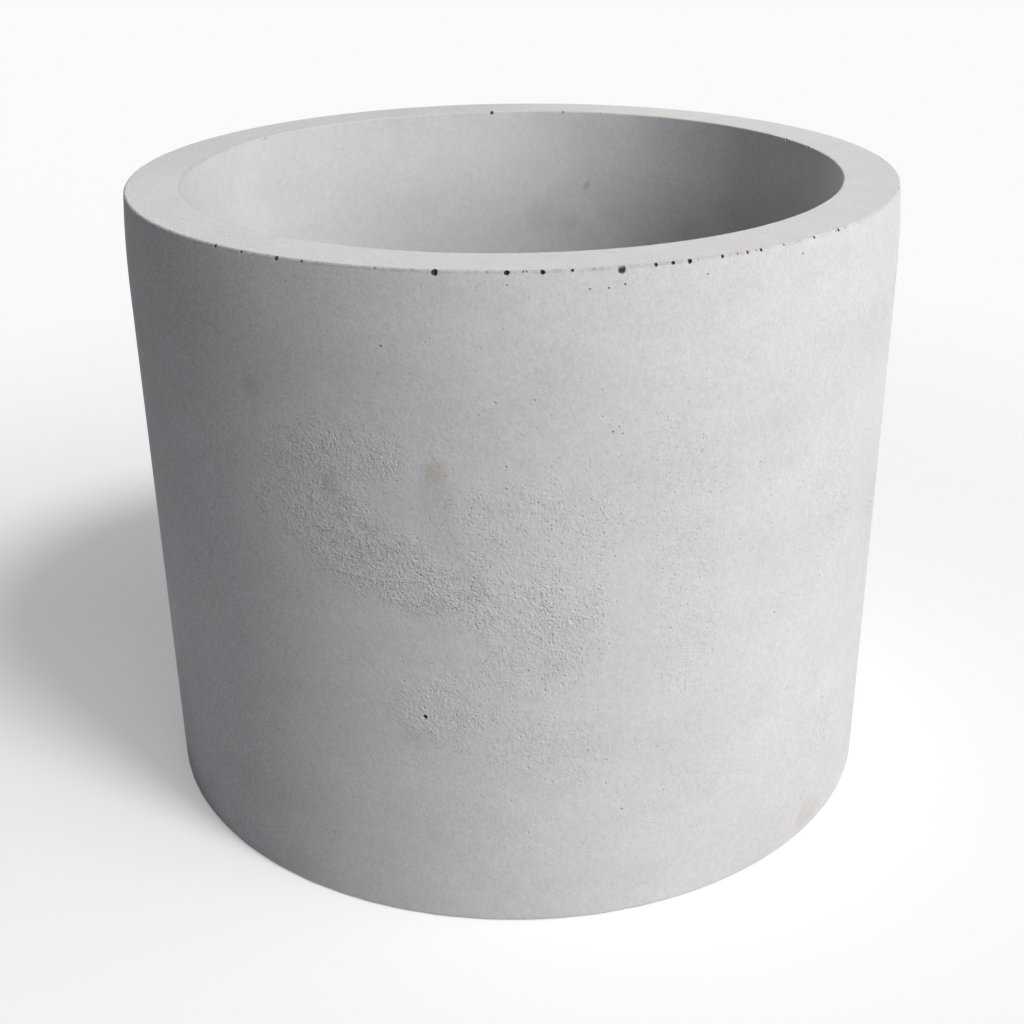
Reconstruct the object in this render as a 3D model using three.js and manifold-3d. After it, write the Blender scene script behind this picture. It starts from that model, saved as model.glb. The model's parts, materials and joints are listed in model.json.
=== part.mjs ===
// Round concrete planter: a straight cast shell with a flat rim, a sleeved drain with its rubber
// plug, and pads let into the underside. Millimetres, +Z up. The origin is on the floor, on the axis.
import * as THREE from "three";
import { mergeVertices } from "three/addons/utils/BufferGeometryUtils.js";
import Module from "manifold-3d";

const wasm = await Module();
wasm.setup();

// --- Driving dimensions, mm ---

// Cast shell
const outerDiameter = 305;
const overallHeight = 250; // floor to rim, pads included
const rimWall = 22; // width of the flat rim
const innerDraftDegrees = 1; // the core of the mould tapers, so that it pulls out
const floorThickness = 24;
const innerCornerRadius = 14; // where the wall meets the floor inside
const rimOuterArris = 0.8; // rounding of the cast edges
const rimInnerArris = 1.2;
const baseArris = 0.6;

// Dished well around the drain
const wellDepth = 2;
const wellMargin = 16; // slope beyond the sleeve's flange

// Drain sleeve
const drainBore = 22;
const sleeveWall = 2.5;
const flangeWidth = 6; // beyond the sleeve's barrel
const flangeThickness = 2;
const anchorWidth = 2.5; // collar that keys the sleeve into the concrete
const anchorThickness = 3;

// Drain plug
const plugClearance = 0.4; // around the ribs
const ribHeight = 0.8;
const ribThickness = 2;
const ribPitch = 5; // as many ribs as the stem has room for
const firstRibBelowHead = 4;
const stemEndAboveUnderside = 2;
const stemTipChamfer = 1.2;
const headOverhang = 4; // beyond the drain bore
const headThickness = 3;
const headRounding = 1;
const knobNeckDiameter = 9;
const knobNeckHeight = 6;
const knobLip = 2.5; // how far the knob stands out beyond its neck

// Foot pads
const padCount = 4;
const padDiameter = 30;
const padThickness = 3;
const padProud = 0.3; // how far the pads, pressed down by the weight, lift the concrete
const padInset = 24; // from the shell's outside to the pad's edge
const padArris = 0.4;

const seatClearance = 0.3; // glue line or running gap between a piece and its seat

// --- Smoothness ---

const shellSegments = 96;
const drainSegments = 48;
const padSegments = 40;
const arrisSteps = 3;
const cornerSteps = 6;

// --- Sizes worked out from them ---

const outerRadius = outerDiameter / 2;
const rimInnerRadius = outerRadius - rimWall;
const undersideZ = padProud;
const innerFloorZ = undersideZ + floorThickness;
const draftAngle = THREE.MathUtils.degToRad(innerDraftDegrees);
const innerRadiusAt = (z) => rimInnerRadius - (overallHeight - z) * Math.tan(draftAngle);
// How far the centre of a rounding lies from the drafted wall, measured level.
const levelOffset = (rounding) => rounding / Math.cos(draftAngle);

const barrelRadius = drainBore / 2 + sleeveWall;
const flangeRadius = barrelRadius + flangeWidth;
const anchorRadius = barrelRadius + anchorWidth;
const wellFloorZ = innerFloorZ - wellDepth;
const wellRadius = flangeRadius + wellMargin;
const flangeTopZ = wellFloorZ;
const flangeSeatZ = flangeTopZ - flangeThickness;
const anchorBottomZ = (undersideZ + flangeSeatZ - anchorThickness) / 2;
const anchorTopZ = anchorBottomZ + anchorThickness;

const padRadius = padDiameter / 2;
const padCircleRadius = outerRadius - padInset - padRadius;
const padSeatZ = padThickness + seatClearance;

const concrete = new THREE.MeshStandardMaterial({ color: 0xc4c4c3, roughness: 0.92, metalness: 0 });
const sleevePlastic = new THREE.MeshStandardMaterial({ color: 0x55585b, roughness: 0.5, metalness: 0 });
const plugRubber = new THREE.MeshStandardMaterial({ color: 0x26272a, roughness: 0.75, metalness: 0 });
const padFelt = new THREE.MeshStandardMaterial({ color: 0x4b4a48, roughness: 1, metalness: 0 });

// --- Shapes ---

// Points of an arc in the profile plane (radius, height), from one angle to another in degrees.
function arc(centreR, centreZ, radius, fromDegrees, toDegrees, steps) {
  return Array.from({ length: steps + 1 }, (_, i) => {
    const angle = THREE.MathUtils.degToRad(fromDegrees + ((toDegrees - fromDegrees) * i) / steps);
    return [centreR + radius * Math.cos(angle), centreZ + radius * Math.sin(angle)];
  });
}

// A profile of (radius, height) points, going round the material anticlockwise, turned about Z.
function turned(profile, segments) {
  const points = profile.map(([r, z]) => new THREE.Vector2(r, z));
  return new THREE.LatheGeometry(points, segments).rotateX(Math.PI / 2);
}

// The same for a ring, whose profile closes on itself.
function turnedRing(profile, segments) {
  return turned([...profile, profile[0]], segments);
}

function solidFrom(geometry) {
  const bare = geometry.clone().deleteAttribute("normal").deleteAttribute("uv");
  const merged = mergeVertices(bare);
  return new wasm.Manifold(
    new wasm.Mesh({
      numProp: 3,
      vertProperties: merged.attributes.position.array,
      triVerts: new Uint32Array(merged.index.array),
    }),
  );
}

function geometryFrom(solid) {
  const mesh = solid.getMesh();
  const geometry = new THREE.BufferGeometry();
  geometry.setAttribute("position", new THREE.BufferAttribute(mesh.vertProperties, 3));
  geometry.setIndex(new THREE.BufferAttribute(mesh.triVerts, 1));
  geometry.computeVertexNormals();
  return geometry;
}

function padCentre(index) {
  const angle = (2 * Math.PI * (index + 0.5)) / padCount;
  return new THREE.Vector2(padCircleRadius * Math.cos(angle), padCircleRadius * Math.sin(angle));
}

// --- Pieces ---

// Wall, rim and floor in one casting. The hole follows the sleeve, and the seats take the pads.
function shellGeometry() {
  const draft = innerDraftDegrees;
  const cornerZ = innerFloorZ + innerCornerRadius;
  const cornerR = innerRadiusAt(cornerZ) - levelOffset(innerCornerRadius);
  const lipZ = overallHeight - rimInnerArris;
  const lipR = innerRadiusAt(lipZ) + levelOffset(rimInnerArris);
  const profile = [
    [barrelRadius + seatClearance, undersideZ],
    [outerRadius - baseArris, undersideZ],
    ...arc(outerRadius - baseArris, undersideZ + baseArris, baseArris, -90, 0, arrisSteps).slice(1),
    ...arc(outerRadius - rimOuterArris, overallHeight - rimOuterArris, rimOuterArris, 0, 90, arrisSteps),
    ...arc(lipR, lipZ, rimInnerArris, 90, 180 - draft, arrisSteps),
    ...arc(cornerR, cornerZ, innerCornerRadius, -draft, -90, cornerSteps),
    [wellRadius, innerFloorZ],
    [flangeRadius + seatClearance, wellFloorZ],
    [flangeRadius + seatClearance, flangeSeatZ - seatClearance],
    [barrelRadius + seatClearance, flangeSeatZ - seatClearance],
    [barrelRadius + seatClearance, anchorTopZ + seatClearance],
    [anchorRadius + seatClearance, anchorTopZ + seatClearance],
    [anchorRadius + seatClearance, anchorBottomZ - seatClearance],
    [barrelRadius + seatClearance, anchorBottomZ - seatClearance],
  ];
  let shell = solidFrom(turnedRing(profile, shellSegments));
  const seatBelow = padThickness; // the cutter starts well below the underside
  for (let i = 0; i < padCount; i++) {
    const { x, y } = padCentre(i);
    const seat = new THREE.CylinderGeometry(
      padRadius + seatClearance,
      padRadius + seatClearance,
      padSeatZ + seatBelow,
      padSegments,
    )
      .rotateX(Math.PI / 2)
      .translate(x, y, (padSeatZ - seatBelow) / 2);
    shell = shell.subtract(solidFrom(seat));
  }
  return geometryFrom(shell);
}

// Flanged sleeve with a collar that locks it into the floor.
function sleeveGeometry() {
  const boreRadius = drainBore / 2;
  return turnedRing(
    [
      [boreRadius, undersideZ],
      [barrelRadius, undersideZ],
      [barrelRadius, anchorBottomZ],
      [anchorRadius, anchorBottomZ],
      [anchorRadius, anchorTopZ],
      [barrelRadius, anchorTopZ],
      [barrelRadius, flangeSeatZ],
      [flangeRadius, flangeSeatZ],
      [flangeRadius, flangeTopZ],
      [boreRadius, flangeTopZ],
    ],
    drainSegments,
  );
}

// Rubber plug: ribbed stem, head that lies on the sleeve's flange, and a knob to pull it by.
function plugGeometry() {
  const ribRadius = drainBore / 2 - plugClearance;
  const stemRadius = ribRadius - ribHeight;
  const stemEndZ = undersideZ + stemEndAboveUnderside;
  const headRadius = drainBore / 2 + headOverhang;
  const headBottomZ = flangeTopZ + seatClearance;
  const headTopZ = headBottomZ + headThickness;
  const neckRadius = knobNeckDiameter / 2;
  const knobRadius = neckRadius + knobLip;
  const knobLift = Math.sqrt(knobRadius ** 2 - neckRadius ** 2);
  const knobCentreZ = headTopZ + knobNeckHeight + knobLift;
  const knobStart = THREE.MathUtils.radToDeg(Math.asin(-knobLift / knobRadius));

  const stem = [
    [0, stemEndZ],
    [stemRadius - stemTipChamfer, stemEndZ],
    [stemRadius, stemEndZ + stemTipChamfer],
  ];
  const topRibZ = headBottomZ - firstRibBelowHead;
  const lowestRibZ = stemEndZ + stemTipChamfer + ribThickness / 2;
  for (let i = Math.floor((topRibZ - lowestRibZ) / ribPitch); i >= 0; i--) {
    const ribZ = topRibZ - i * ribPitch;
    stem.push(
      [stemRadius, ribZ - ribThickness / 2],
      [ribRadius, ribZ],
      [stemRadius, ribZ + ribThickness / 2],
    );
  }
  return turned(
    [
      ...stem,
      [stemRadius, headBottomZ],
      [headRadius, headBottomZ],
      ...arc(headRadius - headRounding, headTopZ - headRounding, headRounding, 0, 90, arrisSteps),
      [neckRadius, headTopZ],
      ...arc(0, knobCentreZ, knobRadius, knobStart, 90, cornerSteps).slice(0, -1),
      [0, knobCentreZ + knobRadius],
    ],
    drainSegments,
  );
}

function padGeometry() {
  return turned(
    [
      [0, 0],
      [padRadius - padArris, 0],
      [padRadius, padArris],
      [padRadius, padThickness],
      [0, padThickness],
    ],
    padSegments,
  );
}

// --- Assembly ---

const planter = new THREE.Group();

function addPiece(name, geometry, material) {
  const piece = new THREE.Mesh(geometry, material);
  piece.name = name;
  planter.add(piece);
  return piece;
}

addPiece("concrete_shell", shellGeometry(), concrete);
addPiece("drain_sleeve", sleeveGeometry(), sleevePlastic);
addPiece("drain_plug", plugGeometry(), plugRubber);
for (let i = 0; i < padCount; i++) {
  const { x, y } = padCentre(i);
  addPiece(`foot_pad_${i + 1}`, padGeometry(), padFelt).position.set(x, y, 0);
}

export default planter;
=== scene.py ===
"""Looks of a round cast concrete planter: its shell, drain sleeve, drain plug and felt pads.

Metres and radians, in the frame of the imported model: +Z up, the origin on the floor at the
planter's axis, -Y towards the camera. Places on the shell are written as an angle round the
axis, in degrees from the front towards +X, and a height in millimetres.
"""

import json
import math
import random

import bmesh
import bpy
from mathutils import Matrix, Vector, noise

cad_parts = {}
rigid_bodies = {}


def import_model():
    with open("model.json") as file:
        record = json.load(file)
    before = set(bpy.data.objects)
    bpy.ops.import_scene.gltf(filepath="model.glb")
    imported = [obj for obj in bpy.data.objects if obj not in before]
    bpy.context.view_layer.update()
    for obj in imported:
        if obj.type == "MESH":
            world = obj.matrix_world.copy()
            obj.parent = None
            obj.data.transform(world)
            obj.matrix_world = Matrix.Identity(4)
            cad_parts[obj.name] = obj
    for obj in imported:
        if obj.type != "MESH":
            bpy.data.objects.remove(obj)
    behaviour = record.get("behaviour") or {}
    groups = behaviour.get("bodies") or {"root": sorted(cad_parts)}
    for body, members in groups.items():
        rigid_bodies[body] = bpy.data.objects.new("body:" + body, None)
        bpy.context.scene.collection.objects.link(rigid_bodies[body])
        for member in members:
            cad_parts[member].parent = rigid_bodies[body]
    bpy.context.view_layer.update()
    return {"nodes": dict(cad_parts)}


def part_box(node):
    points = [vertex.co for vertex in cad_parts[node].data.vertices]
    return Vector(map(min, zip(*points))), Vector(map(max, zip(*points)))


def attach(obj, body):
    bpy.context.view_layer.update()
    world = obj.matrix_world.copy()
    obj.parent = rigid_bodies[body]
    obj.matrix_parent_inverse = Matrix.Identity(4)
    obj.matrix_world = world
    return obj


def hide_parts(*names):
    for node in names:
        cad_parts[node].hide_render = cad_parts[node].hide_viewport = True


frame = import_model()

MM = 0.001

# --- Sizes that the frame gives ---

shell_low, shell_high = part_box("concrete_shell")
sleeve_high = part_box("drain_sleeve")[1]
plug_low, plug_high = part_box("drain_plug")
PAD_NODES = sorted(name for name in frame["nodes"] if name.startswith("foot_pad"))

OUTER_RADIUS = shell_high.x
RIM_Z = shell_high.z
UNDERSIDE_Z = shell_low.z
FLANGE_RADIUS = sleeve_high.x
FLANGE_TOP_Z = sleeve_high.z

# --- Sizes that the frame's boxes don't show ---

RIM_WALL = 22 * MM
INNER_DRAFT = math.radians(1)
FLOOR_THICKNESS = 24 * MM
INNER_CORNER_RADIUS = 14 * MM
RIM_OUTER_ARRIS = 0.8 * MM
RIM_INNER_ARRIS = 0.6 * MM
BASE_ARRIS = 0.6 * MM
# How far the wall is drawn in at the rim, outside and inside, and from how far below the rim.
DRAWN_IN_OUTSIDE = 1.8 * MM
DRAWN_IN_INSIDE = 1.0 * MM
DRAWN_IN_HEIGHT = 36 * MM
WELL_MARGIN = 16 * MM

DRAIN_BORE = 22 * MM
SLEEVE_WALL = 2.5 * MM
FLANGE_THICKNESS = 2 * MM
ANCHOR_WIDTH = 2.5 * MM
ANCHOR_THICKNESS = 3 * MM
SLEEVE_ARRIS = 0.35 * MM

RIB_HEIGHT = 0.8 * MM
RIB_THICKNESS = 2 * MM
RIB_PITCH = 5 * MM
FIRST_RIB_BELOW_HEAD = 4 * MM
STEM_TIP_CHAMFER = 1.2 * MM
HEAD_THICKNESS = 3 * MM
HEAD_ROUNDING = 1 * MM
KNOB_NECK_RADIUS = 4.5 * MM
KNOB_NECK_HEIGHT = 6 * MM
KNOB_RADIUS = 7 * MM
NECK_FILLET = 1 * MM

FLASH_HEIGHT = 0.12 * MM
FLASH_WIDTH = 0.35 * MM
PAD_EDGE = 1.2 * MM  # the part of a pad that is hairy

SEAT_CLEARANCE = 0.3 * MM
PLUG_CLEARANCE = 0.4 * MM

# --- Places seen in the photograph ---

# Air pores on the rim's outer edge: angle, width in millimetres.
RIM_PORES = [
    (-64, 1.1), (-51, 1.0), (-40.4, 1.3), (-35.7, 1.0), (-30, 1.5), (-27.5, 0.6), (-26.3, 1.0),
    (-24.4, 0.6), (-9.2, 2.0), (-3, 0.6), (-0.7, 1.6), (1.6, 0.7), (3.5, 1.5), (5.5, 0.6), (7, 1.0),
    (17.2, 1.2), (19.4, 1.2), (21.6, 1.5), (26.1, 1.1), (28.3, 0.7), (29.8, 1.1), (31.9, 1.1),
    (35.7, 0.8), (38.5, 0.6), (41.3, 1.0), (46.5, 1.1), (55.2, 0.6), (58.5, 0.7), (73, 0.9),
]
# One shallow, squarish pocket there: angle, width.
POCKET = (12.9, 2.6)
# Pores on the rim's inner edge, given in the same way.
INNER_RIM_PORES = [(-176, 1.7), (169, 1.2), (161, 1.0), (114, 1.3), (106, 1.5)]
# Single pores in the outer wall: angle, height, width.
WALL_PORES = [
    (-0.7, 245.5, 0.9), (9, 243.5, 0.9), (11.3, 243.5, 0.8), (13.3, 244.3, 0.9), (24, 244.7, 0.8),
    (39, 245.3, 0.9), (-16, 225, 1.0), (-28.6, 242.4, 0.8), (-12.4, 88.4, 1.7), (-46, 77, 1.0),
    (12, 196, 0.8), (13.2, 195, 0.7), (12.8, 197.5, 0.7),
]
# Stretches of wall where the moulded skin is pitted: angle, height, half width in degrees,
# half height in millimetres, strength.
PITTED = [
    (-27, 163, 9, 13, 1.0), (-19, 150, 8, 13, 1.15), (-11, 139, 7, 9, 1.0), (-3, 135, 8, 12, 0.8),
    (6, 128, 9, 18, 0.68), (2, 112, 8, 14, 0.5), (-23, 187, 9, 12, 0.75), (-35, 172, 7, 14, 0.5),
    (3, 160, 13, 18, 0.38), (22, 165, 7, 40, 0.26), (23, 110, 5, 22, 0.26), (-10, 92, 7, 12, 0.6),
    (1, 82, 9, 14, 0.4), (8, 68, 6, 8, 0.3),
]
# Stretches where it is smooth.
SMOOTH = [(-27, 118, 13, 11, 0.9), (15, 120, 3, 42, 0.8), (-8, 118, 4, 6, 0.8)]
# Brownish stains, given in the same way.
STAINS = [
    (-10.0, 182, 1.3, 3.5, 0.9), (-9.9, 173, 2.2, 8, 0.36), (-9.2, 163, 1.3, 5, 0.34),
    (-7.6, 158, 1.2, 3, 0.28), (-24.3, 173.6, 1.2, 3.5, 0.85), (-22.5, 166.7, 1.3, 3, 0.34),
    (-18.5, 161.3, 1.5, 3, 0.2), (-5.8, 146, 1.8, 4, 0.3), (-4.9, 140.5, 1.8, 3, 0.3),
    (-35.3, 204.5, 1.6, 3.5, 0.45), (50.4, 8, 3, 5, 0.4), (4.6, 111, 2, 4, 0.2),
    (-11.5, 133, 2, 4, 0.22), (-14.1, 79, 2, 4, 0.22), (12.8, 16, 9, 8, 0.12),
    (-1, 240, 3, 3, 0.1),
]
# Broad dark blotches in the wall inside, given in the same way.
INNER_BLOTCHES = [
    (174, 199, 3.0, 5, 0.6), (168, 195, 2.2, 4, 0.7), (158, 202, 2.5, 5, 0.4), (139, 198, 3.5, 5, 0.6),
    (150, 190, 3.0, 5, 0.5), (-160, 205, 4.0, 6, 0.3),
]
# Small grey marks: angle, height, half width, strength, and whether they are inside.
SMALL_MARKS = [
    (164, 214.2, 1.9, 0.36, True), (163.5, 215.8, 1.7, 0.36, True), (-142.7, 238, 0.9, 0.36, True),
    (122, 231, 0.8, 0.36, True), (-123, 249.4, 1.0, 0.7, True), (73, 249.8, 1.1, 0.7, False),
]
# A faint raised thread that sags between its ends: lowest point, half width in degrees, sag.
THREAD = (-18.6, 141.3, 7.2, 2.0)

# --- Fineness ---

SHELL_SEGMENTS = 448
WALL_ROW = 3.8 * MM  # height of the mesh's rows on the outer wall
DRAIN_SEGMENTS = 128
PAD_SEGMENTS = 160
KNOB_STEPS = 28

# --- Random patches of pitting ---

MOST_PITTED = 1.15
PITTING_DRIFT = 38 * MM
PITTING_BREAK_UP = 13 * MM
DRIFT_PHASE = Vector((5.2, 1.7, 8.1))
BREAK_UP_PHASE = Vector((2.9, 7.3, 0.4))
PATCHES_DRIFT_FROM = 40  # degrees from the front
PATCHES_DRIFT_OVER = 15

# --- Random pores ---

SEED = 11
HIDDEN_FROM = 75  # degrees from the front; beyond it the photograph shows nothing of the wall
HIDDEN_EDGE_PORES = 55
SEEN_EDGE_PORES = 70
INNER_EDGE_PORES = 14
SKIN_PORES = 420
INNER_WALL_PORES = 24
# The wall inside is clean as far down as the photograph shows it, so its pores start below.
INNER_PORES_FROM = 50 * MM
INNER_PORES_TO = 165 * MM

# --- Wear of the edges ---

RIM_WEAR_REACH = 1.6 * MM
BASE_WEAR_REACH = 3 * MM
WEAR = 0.07 * MM
COARSE_WEAR = 0.14 * MM
FINE_WEAR = 0.10 * MM


# --- Turned shapes ---


def rounded(corners, steps):
    """A closed outline (radius, height) from corners (radius, height, rounding, step). A rounding
    over 0 is an arc there, with a point close by on each side that keeps the flats flat, and the
    straight stretch after a corner gets a point every step."""
    pieces = []
    for i, (r, z, rounding, step) in enumerate(corners):
        here = Vector((r, z))
        back = (Vector(corners[i - 1][:2]) - here).normalized()
        ahead = (Vector(corners[(i + 1) % len(corners)][:2]) - here).normalized()
        half = back.angle(ahead) / 2
        if rounding == 0:
            pieces.append(([here], step))
            continue
        centre = here + (back + ahead).normalized() * rounding / math.sin(half)
        start = here + back * rounding / math.tan(half) - centre
        turn = math.copysign(math.pi - 2 * half, back.cross(ahead))
        arc = [centre + Matrix.Rotation(-turn * k / steps, 2) @ start for k in range(steps + 1)]
        hold = 0.3 * rounding
        pieces.append(([arc[0] + back * hold] + arc + [arc[-1] + ahead * hold], step))
    outline = []
    for (points, step), (following, _) in zip(pieces, pieces[1:] + pieces[:1]):
        gap = following[0] - points[-1]
        count = max(1, round(gap.length / step)) if step else 1
        outline += points + [points[-1] + gap * k / count for k in range(1, count)]
    return outline


def turned(name, profile, segments, closed):
    """A mesh object of a profile turned about Z, which goes round the material anticlockwise.
    One that isn't closed starts and ends on the axis."""
    rows = [tuple(point) for point in profile]
    angles = [2 * math.pi * i / segments for i in range(segments)]
    ring_r = rows if closed else rows[1:-1]
    points = [
        (r * math.cos(a), r * math.sin(a), z) for r, z in ring_r for a in angles
    ]
    faces = []
    count = len(ring_r)
    for row in range(count if closed else count - 1):
        after = (row + 1) % count
        for i in range(segments):
            j = (i + 1) % segments
            faces.append((
                row * segments + i, row * segments + j, after * segments + j, after * segments + i
            ))
    if not closed:
        for pole, row, order in ((rows[0], 0, 1), (rows[-1], count - 1, -1)):
            points.append((0, 0, pole[1]))
            for i in range(segments):
                pair = (row * segments + i, row * segments + (i + 1) % segments)
                faces.append((len(points) - 1,) + pair[::-order])
    mesh = bpy.data.meshes.new(name)
    mesh.from_pydata(points, [], faces)
    mesh.validate()
    thing = bpy.data.objects.new(name, mesh)
    bpy.context.scene.collection.objects.link(thing)
    return thing


def smooth_shaded(thing, sharp_degrees):
    mesh = thing.data
    mesh.shade_smooth()
    mesh.set_sharp_from_angle(angle=math.radians(sharp_degrees))


def dressed(thing, body, node, material):
    """Puts a finished piece on its body, in the place of its CAD node."""
    thing.data.materials.clear()
    thing.data.materials.append(material)
    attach(thing, body)
    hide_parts(node)


# --- Shell ---


def inner_radius(z):
    """The radius of the straight wall's inside at a height."""
    return OUTER_RADIUS - RIM_WALL - (RIM_Z - z) * math.tan(INNER_DRAFT)


def shell_profile():
    """The shell's outline: underside, wall, rim, inside, floor, and the hole for the sleeve."""
    floor_z = UNDERSIDE_Z + FLOOR_THICKNESS
    hole = DRAIN_BORE / 2 + SLEEVE_WALL + SEAT_CLEARANCE
    groove = hole + ANCHOR_WIDTH
    flange = FLANGE_RADIUS + SEAT_CLEARANCE
    seat_z = FLANGE_TOP_Z - FLANGE_THICKNESS
    groove_low = (UNDERSIDE_Z + seat_z - ANCHOR_THICKNESS) / 2 - SEAT_CLEARANCE
    groove_high = groove_low + ANCHOR_THICKNESS + 2 * SEAT_CLEARANCE
    return rounded([
        (hole, UNDERSIDE_Z, 0, 14 * MM),
        (OUTER_RADIUS, UNDERSIDE_Z, BASE_ARRIS, WALL_ROW),
        (OUTER_RADIUS, RIM_Z, RIM_OUTER_ARRIS, 1.8 * MM),
        (inner_radius(RIM_Z), RIM_Z, RIM_INNER_ARRIS, 6 * MM),
        (inner_radius(floor_z), floor_z, INNER_CORNER_RADIUS, 8 * MM),
        (FLANGE_RADIUS + WELL_MARGIN, floor_z, 0, 8 * MM),
        (flange, FLANGE_TOP_Z, 0.4 * MM, 0),
        (flange, seat_z - SEAT_CLEARANCE, 0, 0),
        (hole, seat_z - SEAT_CLEARANCE, 0, 0),
        (hole, groove_high, 0, 0),
        (groove, groove_high, 0, 0),
        (groove, groove_low, 0, 0),
        (hole, groove_low, 0, 0),
    ], steps=6)


def wear_edges(mesh):
    """Makes the cast edges of the rim and the base a little uneven, always into the concrete."""
    for vertex in mesh.vertices:
        x, y, z = vertex.co
        r = math.hypot(x, y)
        near_rim = max(0.0, 1 - (RIM_Z - z) / RIM_WEAR_REACH)
        near_base = max(0.0, 1 - (z - UNDERSIDE_Z) / BASE_WEAR_REACH)
        near_outside = max(0.0, 1 - (OUTER_RADIUS - r) / RIM_WEAR_REACH)
        near_inside = max(0.0, 1 - abs(r - inner_radius(z)) / RIM_WEAR_REACH)
        edge = near_rim * (near_outside + near_inside) + near_base * near_outside
        if edge <= 0:
            continue
        coarse = noise.noise(Vector((x, y, z)) / (9 * MM))
        fine = noise.noise(Vector((y, x, z)) / (2.2 * MM))
        bite = max(0.0, WEAR + COARSE_WEAR * coarse + FINE_WEAR * fine) * edge
        turn = 1 if r > OUTER_RADIUS - RIM_WALL / 2 else -1
        factor = 1 - turn * bite / r
        vertex.co.x *= factor
        vertex.co.y *= factor
        vertex.co.z += bite if z < RIM_Z / 2 else -0.3 * bite


def drawn_in(point):
    """Where a point of the straight shell goes when the top of its wall is drawn in."""
    up = min(1.0, max(0.0, 1 - (RIM_Z - point.z) / DRAWN_IN_HEIGHT))
    r = point.xy.length
    across = min(1.0, max(0.0, 1 - (OUTER_RADIUS - r) / RIM_WALL))
    pull = (DRAWN_IN_INSIDE + (DRAWN_IN_OUTSIDE - DRAWN_IN_INSIDE) * across) * up * up
    return Vector((point.x * (1 - pull / r), point.y * (1 - pull / r), point.z))


def on_wall(angle, z, r=OUTER_RADIUS):
    """The point of the shell's wall at an angle from the front, in degrees."""
    a = math.radians(angle)
    return Vector((r * math.sin(a), -r * math.cos(a), z))


def add_bubble(cutters, draw, centre, half_sizes, fineness, power=1.0):
    """Adds the uneven ball that leaves a pore where it meets the shell's surface. half_sizes are
    along the wall, into the wall and upward. A power below 1 makes it squarish."""
    angle = math.atan2(centre.x, -centre.y)
    place = Matrix.Translation(centre) @ Matrix.Rotation(angle, 4, "Z")
    made = bmesh.ops.create_icosphere(cutters, subdivisions=fineness, radius=1)["verts"]
    phase = Vector((draw.uniform(0, 99), draw.uniform(0, 99), draw.uniform(0, 99)))
    for vertex in made:
        uneven = 1 + 0.28 * noise.noise(vertex.co * 1.3 + phase)
        shaped = [math.copysign(abs(c) ** power, c) for c in vertex.co]
        scaled = [c * s * uneven for c, s in zip(shaped, half_sizes)]
        vertex.co = place @ Vector(scaled)


def blob(angle, z, patches):
    """How far a place lies inside any of the patches: a patch's strength in its middle part, and
    less towards 0 around it."""
    most = 0.0
    for at, height, half_width, half_height, strength in patches:
        turn = (angle - at + 180) % 360 - 180
        away = (turn / half_width) ** 2 + ((z - height * MM) / (half_height * MM)) ** 2
        most = max(most, strength * min(1.0, max(0.0, 1.6 - away)))
    return most


def pitting(angle, z):
    """How pitted the outer wall is at a place, 0 to MOST_PITTED. Patches drift at random round the
    hidden sides too."""
    point = on_wall(angle, z)
    drift = noise.noise(point / PITTING_DRIFT + DRIFT_PHASE)
    finer = noise.noise(point / PITTING_BREAK_UP + BREAK_UP_PHASE)
    from_front = abs((angle + 180) % 360 - 180)
    hidden = min(1.0, max(0.0, (from_front - PATCHES_DRIFT_FROM) / PATCHES_DRIFT_OVER))
    base = hidden * max(0.0, 0.15 + 1.5 * drift + 0.4 * finer)
    seen = blob(angle, z, PITTED) * (1 + 0.4 * finer)
    amount = max(base, seen) + 0.09 + 0.12 * drift
    amount *= 1 - blob(angle, z, SMOOTH)
    # The skin is smooth at the foot, and nearly so below the rim.
    amount *= min(1.0, max(0.0, (z - 22 * MM) / (30 * MM)))
    amount *= min(1.0, max(0.25, (232 * MM - z) / (50 * MM)))
    return min(MOST_PITTED, max(0.0, amount))


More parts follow.
